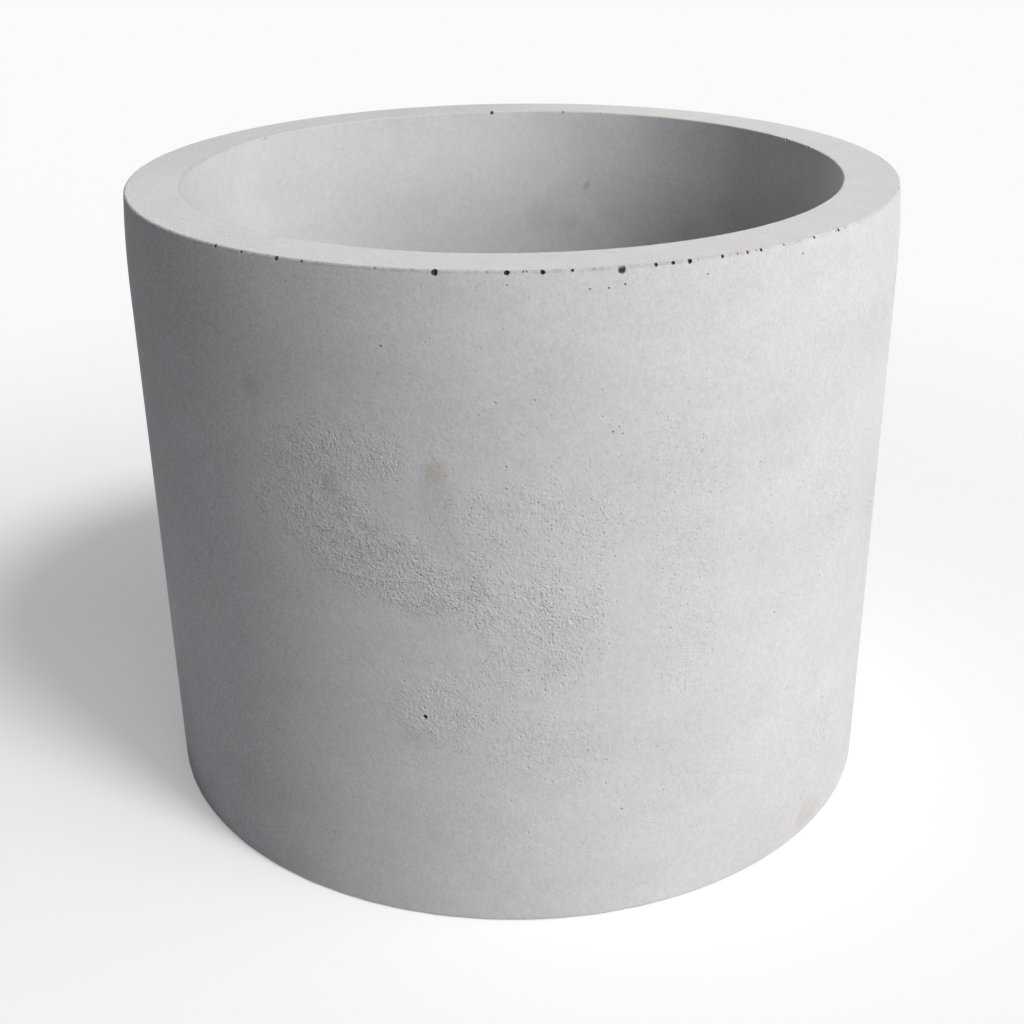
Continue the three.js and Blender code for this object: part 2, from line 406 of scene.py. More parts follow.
def pore_cutters(draw):
    """One mesh with every ball that is taken out of the shell."""
    cutters = bmesh.new()
    taken = []

    def free(point, width):
        return all((point - other).length > 0.75 * (width + size) for other, size in taken)

    def edge_pore(angle, width, inner):
        size = width * MM
        r = inner_radius(RIM_Z) + 0.22 * size if inner else OUTER_RADIUS - 0.22 * size
        centre = on_wall(angle, RIM_Z - 0.42 * size, r)
        if free(centre, size):
            taken.append((centre, size))
            # The taller a pore is, the narrower.
            tall = draw.uniform(0.5, 0.75)
            wide = 1 - 0.75 * tall
            add_bubble(cutters, draw, centre, (wide * size, 0.62 * size, tall * size), 2)

    def wall_pore(angle, z, width, r=OUTER_RADIUS, side=1):
        size = width * MM
        centre = on_wall(angle, z, r - side * 0.12 * size)
        if free(centre, size):
            taken.append((centre, size))
            deep = draw.uniform(0.5, 0.8)
            fineness = 2 if size > 1 * MM else 1
            add_bubble(cutters, draw, centre, (0.52 * size, deep * size, 0.56 * size), fineness)

    angle, width = POCKET
    size = width * MM
    centre = on_wall(angle, RIM_Z - 0.45 * size, OUTER_RADIUS)
    taken.append((centre, size))
    add_bubble(cutters, draw, centre, (0.47 * size, 0.34 * size, 0.45 * size), 3, power=0.6)
    for angle, width in RIM_PORES:
        edge_pore(angle, width, inner=False)
    for angle, width in INNER_RIM_PORES:
        edge_pore(angle, width, inner=True)
    for angle, height, width in WALL_PORES:
        wall_pore(angle, height * MM, width)
    for _ in range(HIDDEN_EDGE_PORES):
        edge_pore(draw.uniform(HIDDEN_FROM, 360 - HIDDEN_FROM), 0.6 + 1.8 * draw.random() ** 3, False)
    for _ in range(SEEN_EDGE_PORES):
        edge_pore(draw.uniform(-HIDDEN_FROM, HIDDEN_FROM), 0.4 + 0.35 * draw.random() ** 2, False)
    for _ in range(INNER_EDGE_PORES):
        edge_pore(draw.uniform(-HIDDEN_FROM, HIDDEN_FROM), 0.5 + 0.5 * draw.random() ** 2, True)
    made = 0
    while made < SKIN_PORES:
        angle, z = draw.uniform(-180, 180), draw.uniform(12 * MM, 240 * MM)
        if draw.random() < 0.03 + 0.97 * pitting(angle, z):
            wall_pore(angle, z, 0.5 + 0.4 * draw.random() ** 3)
            made += 1
    for _ in range(INNER_WALL_PORES):
        z = draw.uniform(INNER_PORES_FROM, INNER_PORES_TO)
        width = 0.6 + 0.6 * draw.random() ** 3
        wall_pore(draw.uniform(-180, 180), z, width, inner_radius(z), -1)
    return cutters


def cut(thing, cutter):
    """Takes cutter out of thing and deletes it."""
    modifier = thing.modifiers.new("cut", "BOOLEAN")
    modifier.operation = "DIFFERENCE"
    modifier.object = cutter
    modifier.solver = "MANIFOLD"
    graph = bpy.context.evaluated_depsgraph_get()
    result = bpy.data.meshes.new_from_object(thing.evaluated_get(graph), depsgraph=graph)
    thing.modifiers.clear()
    old = thing.data
    result.name = old.name
    thing.data = result
    bpy.data.meshes.remove(old)
    bpy.data.objects.remove(cutter)


def pad_seats():
    """The four shallow seats for the pads, as one cutter."""
    seats = bmesh.new()
    for node in PAD_NODES:
        low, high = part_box(node)
        radius = (high.x - low.x) / 2 + SEAT_CLEARANCE
        top = high.z + SEAT_CLEARANCE
        below = 2 * MM
        middle = Vector(((low.x + high.x) / 2, (low.y + high.y) / 2, (top - below) / 2))
        bmesh.ops.create_cone(
            seats, cap_ends=True, segments=96, radius1=radius, radius2=radius,
            depth=top + below, matrix=Matrix.Translation(middle),
        )
    return seats


def mesh_object(name, shape):
    """An object of a bmesh, which it uses up."""
    mesh = bpy.data.meshes.new(name)
    shape.to_mesh(mesh)
    shape.free()
    thing = bpy.data.objects.new(name, mesh)
    bpy.context.scene.collection.objects.link(thing)
    return thing


def add_values(mesh, name, values):
    attribute = mesh.attributes.new(name, "FLOAT", "POINT")
    attribute.data.foreach_set("value", values)


def concrete_shell():
    """The cast shell. Its mesh carries three values for the material at each point: how pitted and
    how stained it is, and how far it is sunk into a pore."""
    shell = turned("concrete_shell_cast", shell_profile(), SHELL_SEGMENTS, closed=True)
    wear_edges(shell.data)
    cut(shell, mesh_object("pad_seats", pad_seats()))
    cut(shell, mesh_object("pores", pore_cutters(random.Random(SEED))))
    mesh = shell.data
    pitted, stained, sunk = [], [], []
    pocket = on_wall(POCKET[0], RIM_Z)
    for vertex in mesh.vertices:
        x, y, z = vertex.co
        r = math.hypot(x, y)
        angle = math.degrees(math.atan2(x, -y))
        outside = r > OUTER_RADIUS - RIM_WALL / 2
        pitted.append(pitting(angle, z) if outside else 0.0)
        stained.append(blob(angle, z, STAINS if outside else INNER_BLOTCHES))
        wall_depth = OUTER_RADIUS - r if outside else r - inner_radius(z)
        rounding = RIM_OUTER_ARRIS if outside else RIM_INNER_ARRIS
        depth = min(wall_depth, RIM_Z - z, z - UNDERSIDE_Z)
        if max(wall_depth, RIM_Z - z) < rounding:
            depth = rounding - math.hypot(rounding - wall_depth, rounding - RIM_Z + z)
        # The pocket, and pores anywhere but on the rim's outer edge, are paler than they are deep.
        if (vertex.co - pocket).length < POCKET[1] * MM:
            depth *= 0.5
        elif not outside or z < RIM_Z - 3 * MM:
            depth *= 0.4
        sunk.append(max(0.0, depth))
        vertex.co = drawn_in(vertex.co)
    add_values(mesh, "pitted", pitted)
    add_values(mesh, "stained", stained)
    add_values(mesh, "sunk", sunk)
    smooth_shaded(shell, 32)
    return shell


# --- Drain sleeve, plug and pads ---


def drain_sleeve():
    """Moulded sleeve: bore, collar in the concrete, and a flange with rounded edges."""
    bore = DRAIN_BORE / 2
    barrel = bore + SLEEVE_WALL
    collar = barrel + ANCHOR_WIDTH
    seat_z = FLANGE_TOP_Z - FLANGE_THICKNESS
    collar_low = (UNDERSIDE_Z + seat_z - ANCHOR_THICKNESS) / 2
    sleeve = turned("drain_sleeve_moulded", rounded([
        (bore, UNDERSIDE_Z, SLEEVE_ARRIS, 0),
        (barrel, UNDERSIDE_Z, SLEEVE_ARRIS, 0),
        (barrel, collar_low, 0, 0),
        (collar, collar_low, 0, 0),
        (collar, collar_low + ANCHOR_THICKNESS, 0, 0),
        (barrel, collar_low + ANCHOR_THICKNESS, 0, 0),
        (barrel, seat_z, 0, 0),
        (FLANGE_RADIUS, seat_z, 0.2 * MM, 0),
        (FLANGE_RADIUS, FLANGE_TOP_Z, 2 * SLEEVE_ARRIS, 1.5 * MM),
        (bore, FLANGE_TOP_Z, 2 * SLEEVE_ARRIS, 3 * MM),
    ], steps=5), DRAIN_SEGMENTS, closed=True)
    smooth_shaded(sleeve, 35)
    return sleeve


def plug_outline():
    """Ribbed stem, head and knob, from the bottom of the stem to the top of the knob."""
    rib = DRAIN_BORE / 2 - PLUG_CLEARANCE
    stem = rib - RIB_HEIGHT
    head_bottom = FLANGE_TOP_Z + SEAT_CLEARANCE
    head_top = head_bottom + HEAD_THICKNESS
    knob_lift = math.sqrt(KNOB_RADIUS**2 - KNOB_NECK_RADIUS**2)
    knob_z = head_top + KNOB_NECK_HEIGHT + knob_lift
    half = RIB_THICKNESS / 2
    low = plug_low.z

    corners = [(0, low, 0, 0), (stem, low, STEM_TIP_CHAMFER, 0)]
    count = int((head_bottom - FIRST_RIB_BELOW_HEAD - low - STEM_TIP_CHAMFER - half) / RIB_PITCH)
    for i in range(count, -1, -1):
        z = head_bottom - FIRST_RIB_BELOW_HEAD - i * RIB_PITCH
        corners += [
            (stem, z - half, 0.3 * MM, 0), (rib, z, 0.35 * MM, 0), (stem, z + half, 0.3 * MM, 0),
        ]
    corners += [
        (stem, head_bottom, 0.4 * MM, 2 * MM),
        (plug_high.x, head_bottom, 0.4 * MM, 0),
        (plug_high.x, head_top, HEAD_ROUNDING, 2 * MM),
        (KNOB_NECK_RADIUS, head_top, NECK_FILLET, 1 * MM),
        (KNOB_NECK_RADIUS, head_top + KNOB_NECK_HEIGHT, 0, 0),
        (0, knob_z + KNOB_RADIUS, 0, 0),
    ]
    outline = rounded(corners, steps=5)
    knob_start = math.asin(-knob_lift / KNOB_RADIUS)
    knob = []
    for i in range(1, KNOB_STEPS + 1):
        angle = knob_start + (math.pi / 2 - knob_start) * i / KNOB_STEPS
        knob.append(Vector((KNOB_RADIUS * math.cos(angle), knob_z + KNOB_RADIUS * math.sin(angle))))
    return outline[:-1] + knob


def drain_plug():
    """Moulded rubber plug, with the thin flash line that its two-part mould leaves."""
    plug = turned("drain_plug_rubber", plug_outline(), DRAIN_SEGMENTS, closed=False)
    for vertex in plug.data.vertices:
        x, y, z = vertex.co
        r = math.hypot(x, y)
        if 0.2 * MM < r < plug_high.x - 2 * MM and z > FLANGE_TOP_Z + HEAD_THICKNESS:
            lift = FLASH_HEIGHT * max(0.0, 1 - abs(y) / FLASH_WIDTH)
            vertex.co.x *= 1 + lift / r
    smooth_shaded(plug, 40)
    return plug


def foot_pad(node):
    """Punched felt disc with a soft, slightly hairy edge and a dimpled underside."""
    low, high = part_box(node)
    radius = (high.x - low.x) / 2
    middle = Vector(((low.x + high.x) / 2, (low.y + high.y) / 2, 0))
    pad = turned(node + "_felt", rounded([
        (0, low.z, 0, 2 * MM),
        (radius, low.z, 0.6 * MM, 0.5 * MM),
        (radius, high.z, 0.3 * MM, 2 * MM),
        (0, high.z, 0, 0),
    ], steps=4), PAD_SEGMENTS, closed=False)
    for vertex in pad.data.vertices:
        point = vertex.co + middle
        r = vertex.co.xy.length
        if r > radius - PAD_EDGE:
            hairs = 0.16 * noise.noise(point / (0.9 * MM))
            waves = 0.12 * noise.noise(point / (3 * MM))
            vertex.co.xy *= 1 - max(0.0, 0.10 + hairs + waves) * MM / r
        elif vertex.co.z < high.z / 2:
            dent = 0.03 + 0.05 * noise.noise(point / (1.6 * MM))
            vertex.co.z += max(0.0, dent) * MM
        vertex.co += middle
    smooth_shaded(pad, 50)
    return pad


# --- Materials ---


class Graph:
    """The nodes of one material."""

    def __init__(self, name):
        self.material = bpy.data.materials.new(name)
        self.material.use_nodes = True
        self.tree = self.material.node_tree
        self.shader = self.tree.nodes["Principled BSDF"]
        self.position = self.node("TexCoord").outputs["Object"]

    def feed(self, socket, value):
        if isinstance(value, bpy.types.NodeSocket):
            self.tree.links.new(value, socket)
        else:
            socket.default_value = value

    def node(self, kind, inputs=(), **settings):
        made = self.tree.nodes.new("ShaderNode" + kind)
        for key, value in settings.items():
            setattr(made, key, value)
        for key, value in dict(inputs).items():
            self.feed(made.inputs[key], value)
        return made

    def math(self, operation, *values):
        made = self.node("Math", enumerate(values), operation=operation)
        return made.outputs[0]

    def total(self, first, *others):
        for other in others:
            first = self.math("ADD", first, other)
        return first

    def product(self, first, *others):
        for other in others:
            first = self.math("MULTIPLY", first, other)
        return first

    def rest(self, value):
        """1 less the value."""
        return self.math("SUBTRACT", 1.0, value)

    def ramp(self, value, low, high, out_low=0.0, out_high=1.0):
        """value, smoothly from low to high, mapped to the range out_low to out_high."""
        inputs = {"Value": value, "From Min": low, "From Max": high}
        inputs.update({"To Min": out_low, "To Max": out_high})
        made = self.node("MapRange", inputs, interpolation_type="SMOOTHSTEP")
        return made.outputs["Result"]

    def stretched(self, scale):
        """The position, scaled by one number for each axis."""
        made = self.node("VectorMath", {0: self.position, 1: scale}, operation="MULTIPLY")
        return made.outputs[0]

    def noise(self, size, detail=3.0, roughness=0.5, position=None):
        """Soft noise, about 0.5 on average, with features of about that size."""
        inputs = {"Scale": 1 / size, "Detail": detail, "Roughness": roughness}
        inputs["Vector"] = position or self.position
        return self.node("TexNoise", inputs).outputs["Fac"]

    def swing(self, value, most, reach=0.2):
        """A noise around 0.5 as a value from -most to most, reached that far from 0.5."""
        return self.ramp(value, 0.5 - reach, 0.5 + reach, -most, most)

    def mix(self, factor, first, second, blend="MIX"):
        made = self.node("Mix", data_type="RGBA", blend_type=blend)
        for socket, value in ((0, factor), (6, first), (7, second)):
            self.feed(made.inputs[socket], value)
        return made.outputs[2]

    def pits(self, cell, amount, smallest, largest):
        """A mask of round pits, at most one in each cell. amount is the share of cells with one,
        and smallest and largest are radii in cells."""
        spread = self.node("TexVoronoi", {"Vector": self.position, "Scale": 1 / cell})
        dice = self.node("SeparateColor", {0: spread.outputs["Color"]})
        radius = self.ramp(dice.outputs[1], 0, 1, smallest, largest)
        core = self.math("MULTIPLY", radius, 0.35)
        hole = self.ramp(spread.outputs["Distance"], core, radius, 1, 0)
        present = self.math("LESS_THAN", dice.outputs[0], amount)
        return self.math("MULTIPLY", hole, present)

    def bump(self, height_mm):
        """Surface relief from a height in millimetres."""
        made = self.node("Bump", {"Height": height_mm, "Distance": MM, "Strength": 1.0})
        self.feed(self.shader.inputs["Normal"], made.outputs[0])

    def value(self, name):
        return self.node("Attribute", attribute_name=name).outputs["Fac"]


def grey(level, warmth=0.0):
    """A grey as a linear colour, a little towards red and away from blue."""
    return (level * (1 + warmth), level, level * (1 - warmth), 1)


# Linear levels and colours of the concrete. The tints multiply its colour.
CONCRETE_LEVEL = 0.565
CONCRETE_GREEN = 0.991  # as a share of the level, as the changes of hue below are
# Painted cool shade on the wall inside at the right, which lies in shade.
SHADE_TINT_INSIDE_GREEN = 0.018
SHADE_TINT_INSIDE_BLUE = 0.045
RIM_WARMTH = 0.014
WARM_CLOUD = (1.0, 0.97, 0.92, 1)
BROWN_STAIN = (0.80, 0.755, 0.665, 1)
GREY_BLOTCH = (0.88, 0.88, 0.90, 1)
WARM_CLOUD_SHARE = 0.35
OUTER_EDGE_TINT = (0.73, 0.70, 0.67, 1)
INNER_EDGE_PAINTED_SHADE = (0.70, 0.695, 0.68, 1)
PIT_COLOUR = grey(0.30)
PIT_DIRT_AND_SHADE_SHARE = 0.28
# Dirt and painted shade in the pores, darker the deeper a point lies in one.
PORE_DIRT_AND_SHADE = grey(0.04, 0.12)
PORE_DARK_FROM = 0.13 * MM  # depth in a pore
PORE_DARK_TO = 0.42 * MM

# The cells that hold one pit at most.
FINE_PIT_CELL = 1.15 * MM
COARSE_PIT_CELL = 3.1 * MM

# Heights of its relief, in millimetres. What is pitted, or on the outer wall, gets more of it.
GRIT = 0.03
GRIT_ON_WALL = 0.05
GRIT_WHERE_PITTED = 0.36
DUNES = 0.12
FINE_PITS = 0.04
FINE_PITS_WHERE_PITTED = 0.15
COARSE_PITS = 0.16
THREAD_HEIGHT = 0.10

# Painted light and shade, as shares of the level, which follow the photograph: they darken and
# lighten the rim's top, the wall inside and the outer wall where light falls less or more. Each
# line is a product of ramps along an axis, (axis, from, to, value at from, value at to), and the
# lines of a list are added up. BACK_LEFT is the level direction between -X and +Y.
RIM_PAINTED_SHADE = [
    [("BACK_LEFT", 0.07, 0.13, 0, -0.10)],
    [("X", 0.07, 0, -0.02, -0.07)],
]
INSIDE_PAINTED_LIGHT_AND_SHADE = [
    [("Z", 0.185, 0.243, -0.09, 0.21), ("X", -0.11, 0.06, 0, 1)],
    [("X", -0.06, 0.01, -0.095, 0.055)],
    [("X", -0.100, -0.118, 0, 0.06)],
    [("X", 0.02, 0.08, 0, 0.10), ("Z", 0.2, 0.245, 0, 1)],
    [("X", 0.085, 0.108, 0, -0.21)],
]
WALL_PAINTED_LIGHT_AND_SHADE = [
    [("X", -0.095, -0.145, 0, 0.25), ("Z", 0.2, 0.08, 0, 1)],
    [("X", 0, -0.07, 0, -0.09), ("Z", 0.165, 0.225, 0, 1)],
    [("X", -0.10, -0.135, 0, 0.04), ("Z", 0.165, 0.225, 0, 1)],
    [("X", 0.03, 0.10, 0, -0.09), ("Z", 0.05, 0.01, 0, 1)],
]


class Place:
    """Where a point of the shell lies: its coordinates, its distance from the planter's axis, and
    how far it is inside, on the rim's flat top and on the outer wall, each from 0 to 1."""

    def __init__(self, g):
        self.x, self.y, self.z = g.node("SeparateXYZ", {0: g.position}).outputs
        self.back_left = g.product(g.math("SUBTRACT", self.y, self.x), math.sqrt(0.5))
        self.r = g.math("SQRT", g.total(g.product(self.x, self.x), g.product(self.y, self.y)))
        self.inside = g.ramp(self.r, OUTER_RADIUS - 0.6 * RIM_WALL, OUTER_RADIUS - 0.9 * RIM_WALL)
        self.top = g.ramp(self.z, RIM_Z - 0.5 * MM, RIM_Z - 0.1 * MM)
        self.wall = g.rest(g.math("MAXIMUM", self.top, self.inside))

    def drift(self, g, lines):
        """A sum of products of ramps, as the lists of painted light and shade above have them."""
        axes = {"X": self.x, "Z": self.z, "BACK_LEFT": self.back_left}
        products = []
        for line in lines:
            products.append(g.product(*[g.ramp(axes[axis], *stretch) for axis, *stretch in line]))
        return g.total(*products)


def concrete_level(g, at, patches, speckle):
    """How light the concrete is: clouds, casting bands, patches and grain, the grain stronger as
    painted shading of the relief where the surface lies in shade, and the painted light and shade.
    """
    clouds = g.noise(55 * MM, 4, 0.55)
    bands = g.noise(1, 4, 0.6, g.stretched((9, 9, 34)))
    mottle = g.noise(2.6 * MM, 3, 0.6)
    # Grain is painted stronger on the outer wall at the left and on the wall inside at the right,
    # which lie in shade: painted shading of the relief there, on top of the real grain.
    grain_and_relief_shade = g.total(
        g.product(g.ramp(at.x, -0.04, -0.13, 0.45, 2.4), g.rest(at.inside)),
        g.product(g.ramp(at.x, 0.02, 0.1, 0, 0.9), at.inside),
        0.6,
    )
    level = g.total(
        1.0,
        g.swing(clouds, 0.02),
        g.swing(bands, 0.02),
        g.swing(patches, 0.018),
        g.swing(mottle, 0.03),
        g.product(g.swing(speckle, 0.06, 0.25), grain_and_relief_shade),
    )
    # Painted shade on the rim's top, and painted light and shade on the wall inside and the outer
    # wall.
    rim_shade_painted = g.product(at.drift(g, RIM_PAINTED_SHADE), at.top)
    inside_light_painted = g.product(at.drift(g, INSIDE_PAINTED_LIGHT_AND_SHADE), at.inside, g.rest(at.top))
    wall_light_painted = g.product(at.drift(g, WALL_PAINTED_LIGHT_AND_SHADE), at.wall)
    for drift in (rim_shade_painted, inside_light_painted, wall_light_painted):
        level = g.product(level, g.total(drift, 1.0))
    return g.product(level, CONCRETE_LEVEL)


def concrete_hue(g, at, level):
    """The level as a colour: a painted cool shade on the wall inside at the right, where it lies in
    shade, and warmer on the rim at the back.
    """
    shade_tint = g.product(g.ramp(at.x, -0.05, 0.05), g.math("SUBTRACT", at.inside, at.top))
    shade_tint = g.math("MAXIMUM", shade_tint, 0.0)
    green = g.product(level, g.total(g.product(shade_tint, SHADE_TINT_INSIDE_GREEN), CONCRETE_GREEN))
    warmth = g.product(g.ramp(at.y, -0.13, -0.08, -RIM_WARMTH, RIM_WARMTH), at.top)
    warmth = g.math("SUBTRACT", warmth, g.product(shade_tint, SHADE_TINT_INSIDE_BLUE))
    blue = g.product(level, g.rest(warmth))
    return g.node("CombineColor", {0: level, 1: green, 2: blue}).outputs[0]


def stained_and_marked(g, at, colour, patches):
    """Adds the warm clouds, the stains and the small marks to a colour."""
    warm = g.ramp(g.noise(30 * MM, 3, 0.6), 0.45, 0.75)
    colour = g.mix(g.product(warm, WARM_CLOUD_SHARE), colour, WARM_CLOUD, "MULTIPLY")
    stain = g.product(g.value("stained"), g.ramp(patches, 0.3, 0.6, 0.7, 1.15))
    colour = g.mix(stain, colour, g.mix(at.inside, BROWN_STAIN, GREY_BLOTCH), "MULTIPLY")
    for angle, height, half_width, strength, is_inside in SMALL_MARKS:
        height *= MM
        half_width *= MM
        mark_radius = inner_radius(height) if is_inside else OUTER_RADIUS
        mark = drawn_in(on_wall(angle, height, mark_radius))
        off = g.node("VectorMath", {0: g.position, 1: mark}, operation="DISTANCE").outputs["Value"]
        here = g.ramp(off, 0.2 * half_width, 1.2 * half_width, strength, 0)
        colour = g.mix(here, colour, PIT_COLOUR)
    return colour


def edge_wear_and_shade(g, at, colour):
    """Adds the worn line along the rim's outer edge, and a fainter line of painted shade on its
    inner edge at the left, where the rounding faces the light. Both roundings lie on the wall that
    is drawn in."""
    near_top = g.ramp(at.z, RIM_Z - 1.2 * MM, RIM_Z - 0.6 * MM)
    outer = OUTER_RADIUS - DRAWN_IN_OUTSIDE
    outer_edge = g.product(
        near_top,
        g.ramp(at.r, outer - 1.1 * MM, outer - 0.5 * MM),
        g.ramp(g.noise(1.8 * MM, 3, 0.7), 0.40, 0.60, 0.5, 1.1),
        g.ramp(at.x, 0.02, 0.10, 1, 0.6),
    )
    colour = g.mix(outer_edge, colour, OUTER_EDGE_TINT, "MULTIPLY")
    # Painted shade on the inner rounding at the left, which faces the light, so that it shows no
    # bright line.
    inner = OUTER_RADIUS - RIM_WALL - DRAWN_IN_INSIDE
    inner_edge_shade = g.product(
        near_top,
        g.ramp(at.r, inner + 1.1 * MM, inner + 0.5 * MM),
        g.ramp(at.x, -0.05, -0.105, 0.25, 0.75),
        g.ramp(at.y, 0.075, 0.03, 0.3, 1),
    )
    return g.mix(inner_edge_shade, colour, INNER_EDGE_PAINTED_SHADE, "MULTIPLY")


def thread(g, at):
    """The faint raised thread on the wall, from 0 to 1: a sagging line that fades at its ends."""
    turn = g.product(g.math("ARCTAN2", at.x, g.product(at.y, -1.0)), 180 / math.pi)
    lowest_at, height, half_width, sag = THREAD
    along = g.math("DIVIDE", g.math("SUBTRACT", turn, lowest_at), half_width)
    rise = g.product(along, along, sag * MM)
    off = g.math("ABSOLUTE", g.math("SUBTRACT", g.math("SUBTRACT", at.z, height * MM), rise))
    fade = g.ramp(g.math("ABSOLUTE", along), 0.5, 1.0, 1, 0)
    return g.product(g.ramp(off, 0.2 * MM, 1.0 * MM, 1, 0), at.wall, fade)


def concrete():
    """Cast concrete, pitted, stained, and darkened in its pores with dirt and painted shade, by the
    values that the shell's mesh carries.
    """
    g = Graph("cast_concrete")
    at = Place(g)
    patches = g.noise(16 * MM, 5, 0.6)
    speckle = g.noise(1.0 * MM, 3, 0.7)

    break_up = g.ramp(g.noise(6 * MM, 3, 0.6), 0.3, 0.7, 0.55, 1.35)
    rough = g.product(g.value("pitted"), break_up, at.wall)
    often = g.total(g.product(rough, 0.92), g.product(at.wall, 0.09))
    fine = g.pits(FINE_PIT_CELL, often, 0.20, 0.48)
    coarse = g.pits(COARSE_PIT_CELL, g.product(rough, 0.7), 0.10, 0.22)

    colour = concrete_hue(g, at, concrete_level(g, at, patches, speckle))
    colour = stained_and_marked(g, at, colour, patches)
    colour = edge_wear_and_shade(g, at, colour)
    # The bump pits are darkened in colour: dirt, and painted shade in their hollows.
    colour = g.mix(g.product(g.math("MAXIMUM", fine, coarse), PIT_DIRT_AND_SHADE_SHARE), colour, PIT_COLOUR)
    # Pores darken with their depth: dirt, and painted shade in the hollows.
    colour = g.mix(g.ramp(g.value("sunk"), PORE_DARK_FROM, PORE_DARK_TO), colour, PORE_DIRT_AND_SHADE)
    g.feed(g.shader.inputs["Base Color"], colour)

    grit_height = g.total(g.product(rough, GRIT_WHERE_PITTED), g.product(at.wall, GRIT_ON_WALL), GRIT)
    fine_depth = g.total(g.product(rough, FINE_PITS_WHERE_PITTED), FINE_PITS)
    relief = g.total(
        g.product(g.noise(1.15 * MM, 3, 0.6), grit_height),
        g.product(g.noise(7 * MM, 3, 0.5), DUNES),
        g.product(thread(g, at), THREAD_HEIGHT),
    )
    relief = g.math("SUBTRACT", relief, g.product(fine, fine_depth))
    relief = g.math("SUBTRACT", relief, g.product(coarse, COARSE_PITS))
    g.bump(relief)
    g.feed(g.shader.inputs["Roughness"], g.ramp(speckle, 0.2, 0.8, 0.86, 0.97))
    g.shader.inputs["Specular IOR Level"].default_value = 0.3
    return g.material


def floor_paper():
    """White to the eye, with the planter's shadow on it, but darker for the light it sends back."""
    g = Graph("floor_paper")
    path = g.node("LightPath").outputs
    seen = g.math("MAXIMUM", path["Is Camera Ray"], path["Is Glossy Ray"])
    seen = g.math("MAXIMUM", seen, path["Is Transmission Ray"])
    bounce = g.node("BsdfDiffuse", {"Color": FLOOR_BOUNCE}).outputs[0]
    paper = g.node("BsdfDiffuse", {"Color": FLOOR_SEEN}).outputs[0]
    away = g.node("VectorMath", {0: g.position}, operation="LENGTH").outputs["Value"]
    lift = g.ramp(away, 0.25, 0.8, 0, FLOOR_FAR_GLOW)
    glow = g.node("Emission", {"Strength": g.total(lift, FLOOR_GLOW)}).outputs[0]
    shown = g.node("AddShader", {0: paper, 1: glow}).outputs[0]
    surface = g.node("MixShader", {0: seen, 1: bounce, 2: shown}).outputs[0]
    g.tree.links.new(surface, g.tree.nodes["Material Output"].inputs["Surface"])
    return g.material


def sleeve_plastic():
    """Dark moulded plastic, finely grained, with a little cement dust."""
    g = Graph("sleeve_plastic")
    dust = g.ramp(g.noise(5 * MM, 5, 0.65), 0.48, 0.72)
    scuffs = g.ramp(g.noise(1, 3, 0.6, g.stretched((900, 900, 160))), 0.55, 0.7)
    colour = g.mix(g.product(dust, 0.35), grey(0.085), grey(0.33, 0.02))
    colour = g.mix(g.product(scuffs, 0.12), colour, grey(0.2))
    g.feed(g.shader.inputs["Base Color"], colour)
    g.feed(g.shader.inputs["Roughness"], g.ramp(dust, 0, 1, 0.42, 0.8))
    relief = g.product(g.noise(0.35 * MM, 2, 0.5), 0.018)
    g.bump(g.total(relief, g.product(dust, 0.012)))
    return g.material


def plug_rubber():
    """Matt black rubber, a little bloomed, with dust on the grain."""
    g = Graph("plug_rubber")
    bloom = g.ramp(g.noise(7 * MM, 4, 0.6), 0.4, 0.75)
    specks = g.ramp(g.noise(0.6 * MM, 3, 0.7), 0.62, 0.74)
    colour = g.mix(g.product(bloom, 0.45), grey(0.018), grey(0.045, 0.03))
    colour = g.mix(g.product(specks, 0.4), colour, grey(0.16, 0.03))
    g.feed(g.shader.inputs["Base Color"], colour)
    g.feed(g.shader.inputs["Roughness"], g.ramp(bloom, 0, 1, 0.55, 0.78))
    g.bump(g.product(g.noise(0.28 * MM, 3, 0.6), 0.03))
    g.shader.inputs["Specular IOR Level"].default_value = 0.35
    return g.material


def pad_felt():
    """Pressed wool felt: matted fibres in two directions, flecked, with a soft sheen."""
    g = Graph("pad_felt")
    one_way = g.noise(1, 4, 0.7, g.stretched((5200, 900, 2600)))
    other_way = g.noise(1, 4, 0.7, g.stretched((800, 4600, 2600)))
    fibres = g.product(g.total(one_way, other_way), 0.5)
    wads = g.noise(2.5 * MM, 4, 0.6)
    fleck = g.ramp(g.noise(0.5 * MM, 2, 0.5), 0.62, 0.7)
    colour = g.mix(g.ramp(fibres, 0.35, 0.65), grey(0.035, 0.03), grey(0.10, 0.03))
    colour = g.mix(g.ramp(wads, 0.35, 0.7, 0, 0.4), colour, grey(0.06, 0.04))
    colour = g.mix(g.product(fleck, 0.5), colour, grey(0.22, 0.03))
    g.feed(g.shader.inputs["Base Color"], colour)
    relief = g.total(g.product(fibres, 0.22), g.product(wads, 0.12))
    g.bump(relief)
    g.shader.inputs["Roughness"].default_value = 0.95
    g.shader.inputs["Specular IOR Level"].default_value = 0.15
    g.shader.inputs["Sheen Weight"].default_value = 0.35
    g.shader.inputs["Sheen Roughness"].default_value = 0.6
    return g.material


# --- Stage, lights and camera ---

CAMERA_PLACE = (0, -0.5920, 0.3733)
CAMERA_PITCH = math.radians(24.88)  # below the horizon
CAMERA_YAW = math.radians(-0.15)  # towards +X
CAMERA_ROLL = math.radians(-0.74)
CAMERA_LENS = 51.96  # on a sensor 36 mm wide

FLOOR_SIZE = 40  # far past what the camera sees
FLOOR_BOUNCE = (0.385, 0.39, 0.43, 1)  # what the floor sends back to the planter
FLOOR_SEEN = (0.62, 0.622, 0.63, 1)  # with FLOOR_GLOW, what the camera sees of it
FLOOR_GLOW = 0.315
FLOOR_FAR_GLOW = 0.075  # on top of it, where the planter throws back no more light
BACKDROP = 0.965

